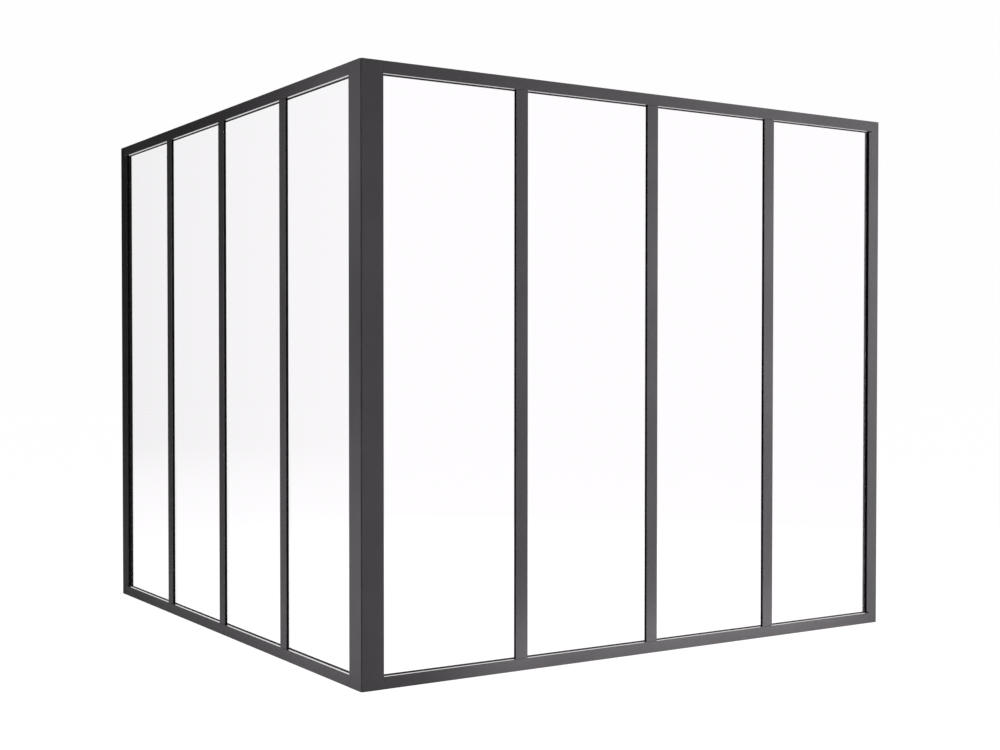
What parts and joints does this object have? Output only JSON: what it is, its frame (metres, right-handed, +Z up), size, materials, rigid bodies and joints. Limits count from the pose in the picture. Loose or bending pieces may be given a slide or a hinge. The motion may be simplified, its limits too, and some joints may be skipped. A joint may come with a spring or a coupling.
{
  "type": "interior glass partition",
  "caption": "L-shaped interior glass partition with dark powder-coated aluminium rails, jambs and mullions around tall clear panes.",
  "frame": {"origin": "centre of the overall footprint, on the floor", "axes": "+X along the right wall from the corner towards its free end, +Y along the left wall from the corner towards its free end, +Z up"},
  "size_m": [2.915, 2.865, 2.5],
  "materials": {
    "dark_powder_coat": "satin anthracite powder coat",
    "black_gasket": "matt black",
    "clear_glass": "clear",
    "setting_block": "matt"
  },
  "bodies": {
    "root": {"corner_joint_strip": "black_gasket", "left_bottom_bead": "dark_powder_coat", "left_corner_bead": "dark_powder_coat", "left_corner_jamb": "dark_powder_coat", "left_end_bead": "dark_powder_coat", "left_end_jamb": "dark_powder_coat", "left_end_strip": "dark_powder_coat", "left_front_gaskets": "black_gasket", "left_glass_1": "clear_glass", "left_glass_2": "clear_glass", "left_glass_3": "clear_glass", "left_glass_4": "clear_glass", "left_head_rail": "dark_powder_coat", "left_mullion_1": "dark_powder_coat", "left_mullion_2": "dark_powder_coat", "left_mullion_3": "dark_powder_coat", "left_mullion_caps": "dark_powder_coat", "left_mullion_gaskets": "black_gasket", "left_rear_gaskets": "black_gasket", "left_setting_blocks": "setting_block", "left_sole_rail": "dark_powder_coat", "left_top_bead": "dark_powder_coat", "right_bottom_bead": "dark_powder_coat", "right_corner_bead": "dark_powder_coat", "right_corner_jamb": "dark_powder_coat", "right_end_bead": "dark_powder_coat", "right_end_jamb": "dark_powder_coat", "right_end_strip": "dark_powder_coat", "right_front_gaskets": "black_gasket", "right_glass_1": "clear_glass", "right_glass_2": "clear_glass", "right_glass_3": "clear_glass", "right_glass_4": "clear_glass", "right_head_rail": "dark_powder_coat", "right_mullion_1": "dark_powder_coat", "right_mullion_2": "dark_powder_coat", "right_mullion_3": "dark_powder_coat", "right_mullion_caps": "dark_powder_coat", "right_mullion_gaskets": "black_gasket", "right_rear_gaskets": "black_gasket", "right_setting_blocks": "setting_block", "right_sole_rail": "dark_powder_coat", "right_top_bead": "dark_powder_coat"}
  },
  "joints": []
}
